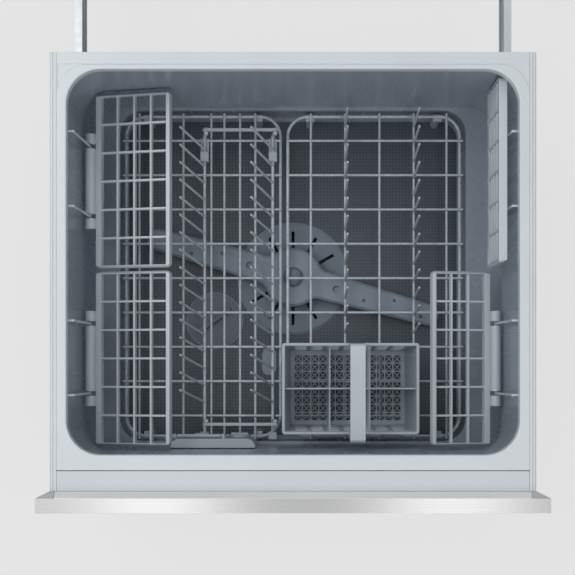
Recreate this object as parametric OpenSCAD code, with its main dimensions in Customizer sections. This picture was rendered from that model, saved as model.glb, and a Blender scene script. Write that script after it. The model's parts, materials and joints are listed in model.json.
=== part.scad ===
// Dishwasher drawer: a wash tub that pulls out on telescopic side rails, with its front panel,
// base racks, folding cup racks, cutlery basket, spray arm, filter and the wash and drain pumps below.
// Millimetres. +X is to the right, -Y is the user's side, +Z is up.
// The origin is the centre of the flat underside of the base tray.

/* [Front panel] */
// How far the steel front panel stands past the drawer body, each side
panel_over = 15.5; // [6:0.5:36]
// Height of the front panel's top edge above the tub's rim
panel_rise = 8; // [4:0.5:14]
// Height of the front panel's lower edge above the underside of the drawer
panel_low = 12; // [5:1:40]
// Depth of the panel's flat top, front to back
panel_top_d = 17.5; // [12:0.5:24]
// Depth of the bevel behind the panel's flat top
panel_bevel = 7.5; // [4:0.5:12]
// Thickness of the steel skin
skin_t = 1; // [0.8:0.1:1.6]
// Width of the finger grip's mouth
grip_w = 260; // [160:5:300]
// Height of the finger grip's mouth
grip_h = 46; // [36:1:56]
// Depth of the finger grip, from the steel face
grip_d = 34; // [28:1:36]
// Distance from the panel's top edge to the grip's mouth
grip_drop = 24; // [20:1:40]
// Radius of a control key
key_r = 6.3; // [4:0.1:8]
// Distance between neighbouring control keys
key_pitch = 24; // [20:1:28]
// How far a key stands out of the steel face
key_out = 1.5; // [1:0.1:2.5]

/* [Drawer body] */
// Width of the opening at the rim
open_w = 529; // [515:1:545]
// Width of the rim beside the opening, each side
rim_side = 19.5; // [19:0.5:22]
// Depth of the opening at the rim, front to back
open_d = 450; // [430:1:480]
// Corner radius of the opening
open_r = 40; // [25:1:55]
// Rim between the opening and the front panel
rim_front = 42.5; // [38:0.5:60]
// Rim behind the opening
rim_rear = 20; // [14:0.5:40]
// Width of the flat sealing land in front of the opening
land_d = 18; // [12:0.5:22]
// Width of the stepped trim along each side of the rim
side_trim_w = 8; // [5:0.5:8.5]
// Thickness of the rim cover
rim_t = 7; // [5:0.5:9]
// How far the rim's lip hangs in over the tub's wall
rim_lip = 3; // [2:0.5:4]

/* [Tub] */
// Thickness of the tub's walls
wall_t = 2.5; // [2:0.1:3]
// Draft of the tub's wall, each side, from the rim to the ledge
tub_draft = 3; // [1:0.5:4]
// Height of the tub's floor above the underside of the drawer
floor_h = 82; // [80:1:96]
// Depth of the tub's floor, below the rim
tub_depth = 290; // [285:1:310]
// Height of the ledge around the tub's well, above its floor
well_h = 55; // [53:1:60]
// Width of the ledge at each side
ledge_side = 33.5; // [25:0.5:34]
// Width of the ledge at the front and the rear
ledge_end = 4; // [2:0.5:4.5]
// Corner radius of the well
well_r = 30; // [20:1:40]

/* [Side rails] */
// Length of each telescopic rail member
rail_len = 480; // [420:1:490]
// How far the drawer travels from open to closed
travel = 510; // [440:1:520]
// Height of the rails' centre line above the ledge
rail_up = 33; // [30:1:70]
// Height of the outer rail member
rail_h = 45; // [42:0.5:50]
// Thickness of the rail steel
rail_t = 1.5; // [1.2:0.1:1.8]
// Running clearance between rail members
rail_gap = 0.35; // [0.2:0.05:0.4]
// Radius of the mounting holes in the fixed rail
rail_hole_r = 2.3; // [2:0.1:3]
// Distance between the two mounting holes of a fixed rail
rail_hole_gap = 192; // [96:32:192]

/* [Base racks] */
// Radius of the racks' frame wire
frame_r = 2.1; // [1.8:0.1:2.5]
// Radius of the racks' floor wires and tines
wire_r = 1.6; // [1.3:0.1:1.8]
// Distance between neighbouring cross wires
cross_pitch = 46; // [44:1:48]
// Number of cross wires in each rack
cross_n = 9; // [7:1:9]
// How far the wires' round ends stand out past the frame
wire_out = 4.5; // [3:0.5:5]
// Height of the racks' frame wire above the tub's floor
rack_rise = 45; // [42:1:50]
// Gap between the two racks
rack_gap = 10; // [8:1:12]
// Place of the gap between the racks, left of the centre line
rack_split = 12; // [8:1:16]
// Height of the plate tines above the rack floor
tine_h = 82; // [60:1:85]
// How far the plate tines' tips lean to the rear
tine_lean = 9.5; // [0:0.5:14]
// Distance between the two rows of plate tines
tine_row_gap = 92; // [88:1:94]
// Number of plate tines in a row
tine_n = 13; // [8:1:13]

/* [Folding tines] */
// Number of tines in each folding row
fold_n = 16; // [10:1:16]
// Distance between the folding tines
fold_pitch = 22.5; // [20:0.5:23]
// Distance from a folding row to its neighbour
fold_row_gap = 91; // [90:1:94]
// Height of the folding tines' tips above their shaft
fold_h = 75; // [55:1:76]
// How far the folding tines' tips lean to the left
fold_lean = 27; // [15:1:30]
// How far the folding tines' tips lean to the rear
fold_back = 17; // [0:1:20]
// Radius of a folding row's shaft
shaft_r = 2; // [1.8:0.1:2.2]
// Length of the cranks that carry the link bars
crank_len = 24; // [20:1:28]

/* [Cup racks] */
// Length of a cup rack, front to back
cup_len = 219; // [200:1:219]
// Width of the wide cup racks
cup_wide = 98.5; // [80:0.5:100]
// Width of the narrow cup rack
cup_narrow = 77; // [65:0.5:80]
// Slope of a lowered cup rack, up from the wall
cup_tilt = 15; // [8:1:18]
// Height of a cup rack's frame
cup_h = 10; // [8:0.5:11]
// Width of the cup rack's outer bars
cup_bar = 7; // [5:0.5:8]
// Width of the cup rack's inner ribs
cup_rib = 2.6; // [2:0.1:3.5]
// Number of cells along a cup rack
cup_cells = 6; // [4:1:7]
// Depth of the cup racks' hinge axis below the rim
cup_axis_depth = 128; // [118:1:140]
// Distance from the tub's wall to the cup racks' hinge axis
cup_axis_in = 12; // [11.5:0.5:14]
// Outer radius of the hinge knuckle
knuckle_r = 6; // [5:0.1:6.5]
// Distance between the two uprights of one hanger
hanger_gap = 88; // [70:1:120]
// Distance from the centre of the tub to the middle of a cup rack
cup_mid = 111.5; // [111:0.5:111.5]
// Running clearance on a hinge wire
hinge_gap = 0.1; // [0.05:0.01:0.1]

/* [Cutlery basket] */
// Width of the basket at its top
basket_w = 171; // [150:1:174]
// Depth of the basket at its top, front to back
basket_d = 113; // [95:1:118]
// Height of the basket
basket_h = 100; // [70:1:110]
// How far each end wall of the basket slopes in
basket_slope = 7; // [3:0.5:9]
// Thickness of the basket's walls
basket_t = 2.2; // [1.8:0.1:2.6]
// Pitch of the lattice in the basket's floor
lattice = 11; // [10:0.5:14]
// Width of the basket's strap handle
strap_w = 19; // [14:0.5:22]
// Height of the strap handle above the basket
strap_rise = 50; // [40:1:60]
// Place of the strap handle, right of the basket's centre
strap_x = 7; // [0:0.5:12]
// How far the strap's front leg leans forward
strap_lean = 8; // [0:0.5:9]

/* [Spray arm and floor] */
// Radius of the spray arm, centre to tip
arm_len = 205; // [150:1:210]
// Thickness of the spray arm
arm_t = 14; // [10:0.5:15]
// Radius of the spray arm's hub
hub_r = 40; // [34:1:48]
// Half width of a blade at the hub
blade_root = 21; // [16:0.5:24]
// Half width of a blade at its tip
blade_tip = 15; // [10:0.5:18]
// How far the spray arm is turned clockwise from straight across
arm_turn = 15.6; // [0:0.1:40]
// Radius of the round sump cover
cover_r = 75; // [70:1:78]
// Groove around the sump cover and the filter's top
floor_groove = 2; // [1:0.5:2.5]
// Radius of the drain filter's top
filter_r = 37; // [30:0.5:38]
// Place of the drain filter, left of the centre
filter_x = 108; // [104:1:112]
// Place of the drain filter, in front of the centre
filter_y = 58; // [56:1:64]

/* [Base] */
// Height of the base tray
tray_h = 60; // [54:1:64]
// Thickness of the base tray
tray_t = 2.5; // [2:0.1:3]
// Outer radius of the drain spigot
drain_r = 9; // [8:0.5:10]
// Outer radius of the water inlet spigot
inlet_r = 7.5; // [6.5:0.5:8]
// Wall of the pipes behind the spigots
pipe_wall = 2; // [1.6:0.1:2.4]
// Length of a spigot
spigot_len = 24; // [18:1:28]

/* [Hidden] */

seat = 0.15;    // gap between two welded or seated pieces
eps = 0.01;     // lets a cut run past the face it opens
round_fn = 48;  // sides of round features

// Rim and tub
drawer_h = floor_h + tub_depth;
body_hw = open_w / 2 + rim_side;
front_y = -open_d / 2 - rim_front;   // joint between the rim and the front panel
rear_y = open_d / 2 + rim_rear;
cover_hw = body_hw - side_trim_w;
tub_hw = open_w / 2 + rim_lip;
tub_hd = open_d / 2 + rim_lip;
tub_r = open_r - 6;
tub_top = drawer_h - rim_t;
floor_z = floor_h;
ledge_z = floor_z + well_h;
ledge_hw = tub_hw - tub_draft;
ledge_hd = tub_hd - tub_draft;
well_hw = ledge_hw - ledge_side;
well_hd = ledge_hd - ledge_end;
pad_x = tub_hw + wall_t + 0.6;       // flat outer face of the pads that carry the rails
pad_y = tub_hd + wall_t + 0.6;       // flat outer face of the pads that carry the front
pillar_x = (well_hw + wall_t + ledge_hw + wall_t) / 2;
pillar_y = well_hd - 28;
pillar_r = 7;

// Front panel
panel_hw = body_hw + panel_over;
panel_z = drawer_h + panel_rise;
panel_back = front_y - panel_bevel;  // back edge of the panel's flat top
face_y = panel_back - panel_top_d;   // steel face
frame_in = skin_t + 0.2;
grip_z1 = panel_z - grip_drop;
grip_z0 = grip_z1 - grip_h;
key_z = (grip_z0 + grip_z1) / 2;
key_x0 = -grip_w / 2 - 48;           // key nearest the grip
key_n = 4;
key_hole = 0.3;                      // radial gap around a key
board_y = face_y + panel_top_d + 1;  // face that the control board sits on
board_x0 = key_x0 - (key_n - 1) * key_pitch - 16;
board_x1 = key_x0 + 16;
bracket_x = body_hw - 64;
bracket_w = 44;
rail_z = ledge_z + rail_up;
bracket_z0 = ledge_z + 13;
bracket_h = 150;

// Rails: three nested channels, all on one centre line
rail_x0 = pad_x;
rail_x1 = body_hw - 0.8;
rail_y = -rail_len / 2 + 2;          // front end of the drawer's own member
fixed_y = rail_y + travel;
lip_h = 5;
rail_hole_y = fixed_y + rail_len - 30 - rail_hole_gap / 2;
rail_hh = rail_h / 2;

// Racks
rack_z = floor_z + rack_rise;
long_z = rack_z + frame_r + wire_r + seat;
cross_z = long_z + 2 * wire_r + seat;
rack_top = cross_z + wire_r;
rack_hd = well_hd - wire_out - 2;
rack_x1 = well_hw - 7;
rack_corner = 27;
left_x1 = -rack_split - rack_gap / 2;
right_x0 = -rack_split + rack_gap / 2;
cross_y0 = -3;
cross_half = (cross_n - 1) / 2;
long_in = 18;                        // from a rack's side to its outermost long wire
tine_x0 = right_x0 + 77;
tine_y0 = cross_y0 + (cross_half + 0.5) * cross_pitch - 2 * wire_r - 3 * seat;
right_long = [right_x0 + 31, tine_x0, tine_x0 + tine_row_gap / 2, tine_x0 + tine_row_gap, rack_x1 - long_in];

// Folding rows
shaft_z = rack_top + shaft_r + 1;
fold_x1 = left_x1 - 10;
fold_x0 = fold_x1 - fold_row_gap;
left_long = [-rack_x1 + long_in, fold_x0 - 29, fold_x0 + 8.5, fold_x0 + 26, fold_x1 - 44, fold_x1 - 23.5];
fold_tilt = atan2(fold_lean, fold_h);
crank_tilt = -8;                     // the cranks lean away from the tines
pin_dx = crank_len * sin(crank_tilt); // from a row's shaft to its crank pin
pin_dz = crank_len * cos(crank_tilt);
fold_rear = 186;                     // tip of the rearmost folding tine
clip_y = rack_hd - 1;
clip_hw = 5.5;
shaft_front = clip_y + 3;
rear_wire = cross_y0 + cross_half * cross_pitch;
crank_front = -193;
crank_rear = fold_rear;
crank_t = 3;
crank_hw = 2.4;
pin_r = 1.5;
link_t = 4;

// Cup racks
axis_x = tub_hw - cup_axis_in;
axis_z = drawer_h - cup_axis_depth;
cup_out = axis_x - knuckle_r - 0.8;  // outer edge of a lowered rack
cup_top = axis_z - 2;
hook_z = tub_top - 10;
hook_lean = 3.5;                     // how far an upright leans out to its hook
knuckle_gap = 1.2;

// Basket
basket_z = rack_top + 0.3;
basket_x = right_x0 + 80;
basket_y = -149.7;

// Floor and pumps
plate_t = 1.2;
cover_t = 4;
hub_z = floor_z + 15.5;
arm_z = hub_z + 0.4;
spindle_r = 6;
bowl_z = 45;
bowl_r = 80;
duct_turn = atan2(filter_y, filter_x);
impeller_r = 38;
shaft_bore = 4;
pump_x = -well_hw + 101;
pump_z = 42;
pump_r = 26;
pump_motor_l = 74;
pipe_x = well_hw - 56;
pipe_step = 1;                       // how far a spigot stands out of its pipe, all round
pipe_end = rear_y + spigot_len - 2;
motor_r = 44;
motor_flange = 50;
hub_base_r = 18;
inlet_z = pump_z + inlet_r + 6;
heater_ring = 120;
heater_r = 4;

// ---- helpers ----

// rounded rectangle, centred
module rrect(w, d, r) {
    square([w - 2 * r, d], center = true);
    square([w, d - 2 * r], center = true);
    for (x = [-1, 1], y = [-1, 1])
        translate([x * (w / 2 - r), y * (d / 2 - r)]) circle(r, $fn = round_fn);
}

// block between two corners
module block(a, b) {
    translate(a) cube(b - a);
}

// straight round wire with domed ends, from p to q
module rod(p, q, r) {
    v = q - p;
    l = norm(v);
    dome = [for (a = [0:30:90]) [r * sin(a), r - r * cos(a)]];
    back = [for (a = [90:-30:0]) [r * sin(a), l - r + r * cos(a)]];
    translate(p) rotate([0, acos(v[2] / l), atan2(v[1], v[0])])
        rotate_extrude($fn = 20) polygon(concat(dome, back));
}

// closed frame of round wire with round corners
module wire_loop(x0, x1, y0, y1, z, rc, r) {
    for (c = [[x1 - rc, y1 - rc, 0], [x0 + rc, y1 - rc, 90], [x0 + rc, y0 + rc, 180], [x1 - rc, y0 + rc, 270]])
        translate([c[0], c[1], z]) rotate([0, 0, c[2]])
            rotate_extrude(angle = 90, $fn = 64) translate([rc, 0]) circle(r, $fn = 20);
    for (y = [y0, y1])
        translate([x0 + rc, y, z]) rotate([0, 90, 0]) cylinder(h = x1 - x0 - 2 * rc, r = r, $fn = 20);
    for (x = [x0, x1])
        translate([x, y0 + rc, z]) rotate([-90, 0, 0]) cylinder(h = y1 - y0 - 2 * rc, r = r, $fn = 20);
}

module rod_y(x, y0, y1, z, r) {
    translate([x, y0, z]) rotate([-90, 0, 0]) cylinder(h = y1 - y0, r = r, $fn = 24);
}

module rod_x(x0, x1, y, z, r) {
    translate([x0, y, z]) rotate([0, 90, 0]) cylinder(h = x1 - x0, r = r, $fn = 24);
}

// ---- tub and rim ----

// tapered tub form: grow is added all round, from z0 up to z1
module tub_form(grow, z0, z1) {
    hull() {
        translate([0, 0, z0]) linear_extrude(eps)
            rrect(2 * (ledge_hw + grow), 2 * (ledge_hd + grow), tub_r - tub_draft + grow);
        translate([0, 0, z1 - eps]) linear_extrude(eps)
            rrect(2 * (tub_hw + grow), 2 * (tub_hd + grow), tub_r + grow);
    }
}

module body_outline(inset) {
    translate([-body_hw + inset, front_y + inset])
        square([2 * (body_hw - inset), rear_y - front_y - 2 * inset]);
}

module tub() {
    color("slategray") difference() {
        union() {
            tub_form(wall_t, ledge_z - wall_t, tub_top);
            translate([0, 0, tub_top - wall_t]) linear_extrude(wall_t) body_outline(1);
            translate([0, 0, floor_z - wall_t]) linear_extrude(ledge_z - floor_z)
                rrect(2 * (well_hw + wall_t), 2 * (well_hd + wall_t), well_r + wall_t);
            for (s = [-1, 1]) {
                // pads for the rails
                block([min(s * (ledge_hw + 1.5), s * pad_x), -tub_hd + 20, rail_z - rail_hh - 3],
                    [max(s * (ledge_hw + 1.5), s * pad_x), tub_hd - 20, rail_z + rail_hh + 3]);
                // pads for the front brackets
                block([s * bracket_x - bracket_w / 2, -pad_y, bracket_z0],
                    [s * bracket_x + bracket_w / 2, -ledge_hd - 1.5, bracket_z0 + bracket_h]);
            }
            // pillars that stand on the base tray
            for (x = [-1, 1], y = [-1, 1])
                translate([x * pillar_x, y * pillar_y, tray_h + seat])
                    cylinder(h = ledge_z - tray_h - 1, r = pillar_r, $fn = 32);
        }
        tub_form(0, ledge_z, tub_top + eps);
        translate([0, 0, floor_z]) linear_extrude(ledge_z - floor_z + 1) rrect(2 * well_hw, 2 * well_hd, well_r);
        translate([0, 0, floor_z - wall_t - 1]) cylinder(h = wall_t + 2, r = cover_r - 9, $fn = 96);
        translate([-filter_x, -filter_y, floor_z - wall_t - 1]) cylinder(h = wall_t + 2, r = filter_r - 2, $fn = 64);
    }
}

// flat of the rim: square to the front, round at the rear corners
module land_outline(inset) {
    r = open_r - 7;
    y1 = open_d / 2 + 5 - inset;
    hw = cover_hw - 1 - inset;
    difference() {
        union() {
            translate([-hw, -open_d / 2 - land_d + inset]) square([2 * hw, y1 - r + open_d / 2 + land_d - inset]);
            translate([-hw + r, y1 - r - eps]) square([2 * hw - 2 * r, r + eps]);
            for (s = [-1, 1]) translate([s * (hw - r), y1 - r]) circle(r, $fn = round_fn);
        }
    }
}

module tub_rim() {
    groove = 1;
    color("gainsboro") difference() {
        union() {
            translate([0, 0, tub_top]) linear_extrude(rim_t)
                translate([-cover_hw, -open_d / 2 - land_d]) square([2 * cover_hw, rear_y + open_d / 2 + land_d]);
            translate([0, 0, tub_top - rim_t]) linear_extrude(rim_t + eps)
                rrect(open_w + 4, open_d + 4, open_r + 2);
        }
        translate([0, 0, tub_top - rim_t - 1]) linear_extrude(2 * rim_t + 2) rrect(open_w, open_d, open_r);
        translate([0, 0, drawer_h - groove]) linear_extrude(groove + 1) difference() {
            translate([-cover_hw + 1.5, 0]) square([2 * cover_hw - 3, open_d / 2 + 6]);
            land_outline(0);
        }
    }
}

module front_apron() {
    color("gainsboro")
        block([-cover_hw, front_y, tub_top], [cover_hw, -open_d / 2 - land_d - 0.8, drawer_h - 0.2]);
}

module rim_side_trims() {
    step = 0.7;
    color("lightgray") for (s = [-1, 1]) difference() {
        block([s > 0 ? cover_hw + seat : -body_hw, front_y, tub_top],
            [s > 0 ? body_hw : -cover_hw - seat, rear_y, drawer_h - 0.3]);
        translate([s * (cover_hw + side_trim_w / 2) - step / 2, front_y - 1, drawer_h - 1.5])
            cube([step, rear_y - front_y + 2, 3]);
        block([s > 0 ? body_hw - 1.2 : -body_hw - 1, front_y - 1, drawer_h - 1],
            [s > 0 ? body_hw + 1 : -body_hw + 1.2, rear_y + 1, drawer_h]);
    }
}

// ---- front ----

// bevelled box of the front panel, inset on every face but the open back
module panel_form(inset) {
    hull() {
        block([-panel_hw + inset, face_y + inset, panel_low + inset], [panel_hw - inset, panel_back, panel_z - inset]);
        block([-body_hw + inset, panel_back, panel_low + panel_rise + inset],
            [body_hw - inset, front_y, drawer_h - inset]);
    }
}

// corner of the bevel that a moulded cap fills
module cap_zone(s, grow) {
    x0 = body_hw - 6 - grow;
    block([s > 0 ? x0 : -panel_hw - 1, panel_back - grow, drawer_h - 24 - grow],
        [s > 0 ? panel_hw + 1 : -x0, front_y + 1, panel_z + 1]);
}

module grip_mouth(grow) {
    block([-grip_w / 2 - grow, face_y - 1, grip_z0 - grow], [grip_w / 2 + grow, front_y + 1, grip_z1 + grow]);
}

module key_holes(r, y0, y1) {
    for (k = [0:key_n - 1])
        rod_y(key_x0 - k * key_pitch, y0, y1, key_z, r);
}

module lens_holes(r, y0, y1) {
    for (k = [0:key_n - 1])
        rod_y(key_x0 - k * key_pitch, y0, y1, grip_z1 + 5, r);
}

module front_skin() {
    color("silver") difference() {
        panel_form(0);
        panel_form(skin_t);
        block([-body_hw + skin_t, front_y - skin_t, panel_low + panel_rise + skin_t],
            [body_hw - skin_t, front_y + 1, drawer_h - skin_t]);
        for (s = [-1, 1]) cap_zone(s, 0);
        grip_mouth(0);
        key_holes(key_r + key_hole, face_y - 1, face_y + skin_t + 1);
        lens_holes(1.7, face_y - 1, face_y + skin_t + 1);
    }
}

module panel_end_caps() {
    color("darkgray") for (s = [-1, 1]) difference() {
        intersection() {
            panel_form(0);
            cap_zone(s, -seat);
        }
        panel_form(3);
    }
}

module front_frame() {
    cells_x = 9;
    cells_z = 5;
    rib = 3;
    pw = (2 * (body_hw - 8) - rib) / cells_x;
    ph = (drawer_h - panel_low - panel_rise - 26 - rib) / cells_z;
    color("dimgray") difference() {
        intersection() {
            panel_form(frame_in);
            block([-body_hw + 7, face_y, 0], [body_hw - 7, front_y, panel_z]);
        }
        for (i = [0:cells_x - 1], j = [0:cells_z - 2])
            translate([-body_hw + 8 + rib + i * pw, face_y + frame_in + 3, panel_low + panel_rise + 4 + rib + j * ph])
                cube([pw - rib, panel_top_d + panel_bevel, ph - rib]);
        grip_mouth(3.2);
        key_holes(key_r + 3, face_y - 1, board_y);
        block([board_x0 + 4, face_y + 6, key_z - 14], [board_x1 - 4, board_y, key_z + 14]);
        block([board_x0 - 0.2, board_y, key_z - 18.2], [board_x1 + 0.2, front_y + 1, key_z + 18.2]);
        lens_holes(1.7, face_y - 1, face_y + 14);
    }
}

module grip_recess() {
    lip = 14;
    y1 = face_y + grip_d;
    color("darkslategray") difference() {
        block([-grip_w / 2 - 3, face_y + frame_in, grip_z0 - 3], [grip_w / 2 + 3, y1, grip_z1 + 3]);
        block([-grip_w / 2 + 1, face_y - 1, grip_z0 + 1], [grip_w / 2 - 1, y1 - 3, grip_z1 - lip]);
        block([-grip_w / 2 + 1, face_y + 8, grip_z1 - lip - 1], [grip_w / 2 - 1, y1 - 3, grip_z1 - 1]);
    }
}

module front_brackets() {
    t = 2;
    color("silver") for (m = [0, 1]) mirror([m, 0, 0]) translate([bracket_x, 0, bracket_z0]) difference() {
        block([-bracket_w / 2 + 1, front_y + seat, 4], [bracket_w / 2 - 1, -pad_y - seat, bracket_h - 4]);
        block([-bracket_w / 2 + 1 + t, front_y + seat + t, 3], [bracket_w / 2, -pad_y - seat - t, bracket_h]);
    }
}

module control_board() {
    color("darkgreen") {
        block([board_x0, board_y, key_z - 18], [board_x1, board_y + 1.6, key_z + 18]);
        for (k = [0:key_n - 1]) rod_y(key_x0 - k * key_pitch, board_y - 4, board_y, key_z, 3);
        block([board_x0 + 6, board_y + 1.6, key_z - 10], [board_x0 + 26, board_y + 5, key_z + 8]);
    }
}

module status_lenses() {
    color("lightcyan") for (k = [0:key_n - 1])
        rod_y(key_x0 - k * key_pitch, face_y - 0.3, face_y + 12, grip_z1 + 5, 1.6);
}

// one control key; k counts from the grip outward
module key(k) {
    color("whitesmoke") translate([key_x0 - k * key_pitch, face_y, key_z]) rotate([-90, 0, 0]) {
        translate([0, 0, -key_out + 0.5]) cylinder(h = board_y - face_y - 6 + key_out - 0.5, r = key_r, $fn = 32);
        translate([0, 0, -key_out]) cylinder(h = 0.5, r1 = key_r - 0.5, r2 = key_r, $fn = 32);
        translate([0, 0, skin_t + 2]) cylinder(h = 1.5, r = key_r + 1.6, $fn = 32);
    }
}

// ---- rails ----

// cross section of a rail member in X and Z, on the right-hand side
module section(points, y, len) {
    translate([0, y + len, 0]) rotate([90, 0, 0]) linear_extrude(len) polygon(points);
}

// channel that opens towards the tub, with a lip on each flange
function channel(x0, x1, h, t, lip) = [[x1, -h], [x1, h], [x0, h], [x0, h - lip], [x0 + t, h - lip],
    [x0 + t, h - t], [x1 - t, h - t], [x1 - t, -h + t], [x0 + t, -h + t], [x0 + t, -h + lip], [x0, -h + lip], [x0, -h]];

fixed_x0 = rail_x0 + 3;
mid_x0 = fixed_x0 + rail_t + rail_gap;
mid_x1 = rail_x1 - rail_t - rail_gap;
mid_hh = rail_hh - rail_t - rail_gap;
bar_x0 = mid_x0 + rail_t + rail_gap;
bar_x1 = mid_x1 - rail_t - rail_gap;
neck_hh = mid_hh - lip_h - rail_t - rail_gap;
bar_hh = mid_hh - rail_t - rail_gap;

module fixed_rail(s) {
    color("lightsteelblue") difference() {
        mirror([s < 0 ? 1 : 0, 0, 0]) translate([0, 0, rail_z])
            section(channel(fixed_x0, rail_x1, rail_hh, rail_t, lip_h), fixed_y, rail_len);
        for (y = [-1, 1])
            rod_x(s > 0 ? rail_x1 - 4 : -rail_x1 - 4, s > 0 ? rail_x1 + 4 : -rail_x1 + 4,
                rail_hole_y + y * rail_hole_gap / 2, rail_z, rail_hole_r);
    }
}

module mid_rail(s) {
    color("lightsteelblue") mirror([s < 0 ? 1 : 0, 0, 0]) translate([0, 0, rail_z])
        section(channel(mid_x0, mid_x1, mid_hh, rail_t, lip_h + 1.5), rail_y + travel / 2, rail_len);
}

module drawer_rail(s) {
    n = neck_hh;
    t = rail_t;
    color("lightsteelblue") mirror([s < 0 ? 1 : 0, 0, 0]) translate([0, 0, rail_z])
        section([[rail_x0, -n], [rail_x0, n], [bar_x0, n], [bar_x0, bar_hh], [bar_x1, bar_hh], [bar_x1, n - t],
            [rail_x0 + t, n - t], [rail_x0 + t, -n + t], [bar_x1, -n + t], [bar_x1, -bar_hh], [bar_x0, -bar_hh],
            [bar_x0, -n]], rail_y, rail_len);
}

module rail_screws() {
    color("gray") for (s = [-1, 1], k = [-1, 0, 1])
        rod_x(s > 0 ? rail_x0 + rail_t + seat : -rail_x0 - rail_t - seat - 2,
            s > 0 ? rail_x0 + rail_t + seat + 2 : -rail_x0 - rail_t - seat, k * rail_len / 3, rail_z, 4);
}

// ---- base ----

module base_tray() {
    pan_x = well_hw + 3;
    pan_y = well_hd - 6;
    color("darkgray") difference() {
        union() {
            linear_extrude(tray_h) rrect(2 * pan_x, 2 * pan_y, 24);
            translate([0, 0, tray_h - tray_t]) linear_extrude(tray_t)
                rrect(2 * (pillar_x + pillar_r + 1), 2 * (well_hd + 2), 20);
        }
        translate([0, 0, tray_t]) linear_extrude(tray_h) rrect(2 * (pan_x - tray_t), 2 * (pan_y - tray_t), 24 - tray_t);
        for (i = [-3:3], s = [-1, 1])
            translate([s * 130 - 40, i * 24 - 2.5, -1]) cube([80, 5, tray_t + 2]);
        // way out for the spigots
        for (s = [-1, 1])
            block([s * pipe_x - 16, pan_y - 30, pump_z - 14], [s * pipe_x + 16, well_hd + 10, tray_h + 1]);
    }
}

module tray_screws() {
    color("gray") for (x = [-1, 1], y = [-1, 1])
        translate([x * pillar_x, y * pillar_y, tray_h - tray_t - seat - 3]) cylinder(h = 3, r = 5, $fn = 32);
}

module sump_housing() {
    top = floor_z - wall_t;
    inlet_pipe = inlet_r - pipe_step;
    color("gray") difference() {
        union() {
            translate([0, 0, bowl_z]) cylinder(h = top - bowl_z - seat, r = bowl_r, $fn = 96);
            translate([-filter_x, -filter_y, bowl_z]) cylinder(h = top - bowl_z - seat, r = filter_r + 5, $fn = 64);
            // duct from the filter's cup to the bowl
            rotate([0, 0, duct_turn]) block([-bowl_r - 20, -17, bowl_z], [-bowl_r + 10, 17, top - seat]);
            // flat face for the drain pump
            block([pump_x - 14, -filter_y, bowl_z], [pump_x + 14, -10, top - 8]);
            // water inlet
            rod_x(bowl_r - 10, pipe_x, 0, inlet_z, inlet_pipe - 0.5);
            rod_y(pipe_x, -inlet_r, pipe_end - 1, inlet_z, inlet_pipe);
            rod_y(pipe_x, pipe_end - spigot_len, pipe_end, inlet_z, inlet_r);
        }
        translate([0, 0, bowl_z + 3]) cylinder(h = top, r = cover_r - 8, $fn = 96);
        translate([-filter_x, -filter_y, bowl_z + 3]) cylinder(h = top, r = filter_r + 1.5, $fn = 64);
        rotate([0, 0, duct_turn]) block([-bowl_r - 14, -14, bowl_z + 3], [-bowl_r + 16, 14, top - 8]);
        translate([0, 0, bowl_z - 1]) cylinder(h = 6, r = shaft_bore + 0.06, $fn = 32);
        rod_x(bowl_r - 16, pipe_x, 0, inlet_z, inlet_pipe - pipe_wall - 0.5);
        rod_y(pipe_x, -inlet_pipe + pipe_wall - 0.5, pipe_end + 1, inlet_z, inlet_pipe - pipe_wall);
    }
}

module wash_motor() {
    color("darkslateblue") difference() {
        union() {
            translate([0, 0, 8]) cylinder(h = bowl_z - 8 - seat, r = motor_r, $fn = 64);
            translate([0, 0, 8]) cylinder(h = 14, r = motor_flange, $fn = 64);
            for (a = [45:90:315]) rotate([0, 0, a]) translate([motor_flange + 2, 0, bowl_z - 6 - seat]) {
                cylinder(h = 6, r = 6, $fn = 32);
                translate([-10, -6, 0]) cube([10, 12, 6]);
            }
        }
        translate([0, 0, bowl_z - 20]) cylinder(h = 21, r = shaft_bore + 0.06, $fn = 32);
    }
}

module wash_impeller() {
    color("ivory") difference() {
        union() {
            translate([0, 0, bowl_z - 18]) cylinder(h = 32, r = shaft_bore, $fn = 32);
            translate([0, 0, bowl_z + 4]) cylinder(h = 3, r = impeller_r, $fn = 64);
            translate([0, 0, bowl_z + 4]) cylinder(h = 12, r = 10, $fn = 32);
            for (a = [0:60:300]) rotate([0, 0, a]) translate([8, -1.2, bowl_z + 5]) cube([impeller_r - 10, 2.4, 9]);
        }
    }
}

module drain_pump() {
    y0 = -10 + seat;
    pump_t = 24;
    drain_pipe = drain_r - pipe_step;
    bore = drain_pipe - pipe_wall;
    color("darkslategray") difference() {
        union() {
            rod_y(pump_x, y0, y0 + pump_t, pump_z, pump_r);
            rod_y(pump_x, y0 + pump_t, y0 + pump_motor_l, pump_z, pump_r - 7);
            rod_x(-pipe_x, pump_x - 20, y0 + pump_t / 2, pump_z, drain_pipe - 0.5);
            rod_y(-pipe_x, y0 + pump_t / 2 - drain_r, pipe_end - 1, pump_z, drain_pipe);
            rod_y(-pipe_x, pipe_end - spigot_len, pipe_end, pump_z, drain_r);
        }
        rod_x(-pipe_x, pump_x - 22, y0 + pump_t / 2, pump_z, bore - 0.5);
        rod_y(-pipe_x, y0 + pump_t / 2 - bore - 0.5, pipe_end + 1, pump_z, bore);
    }
}

module heater_element() {
    z = floor_z - wall_t - heater_r - seat;
    color("dimgray") translate([0, 0, z]) rotate([0, 0, -112]) {
        rotate_extrude(angle = 280, $fn = 96) translate([heater_ring, 0]) circle(heater_r, $fn = 24);
    }
}

// ---- tub floor ----

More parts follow.
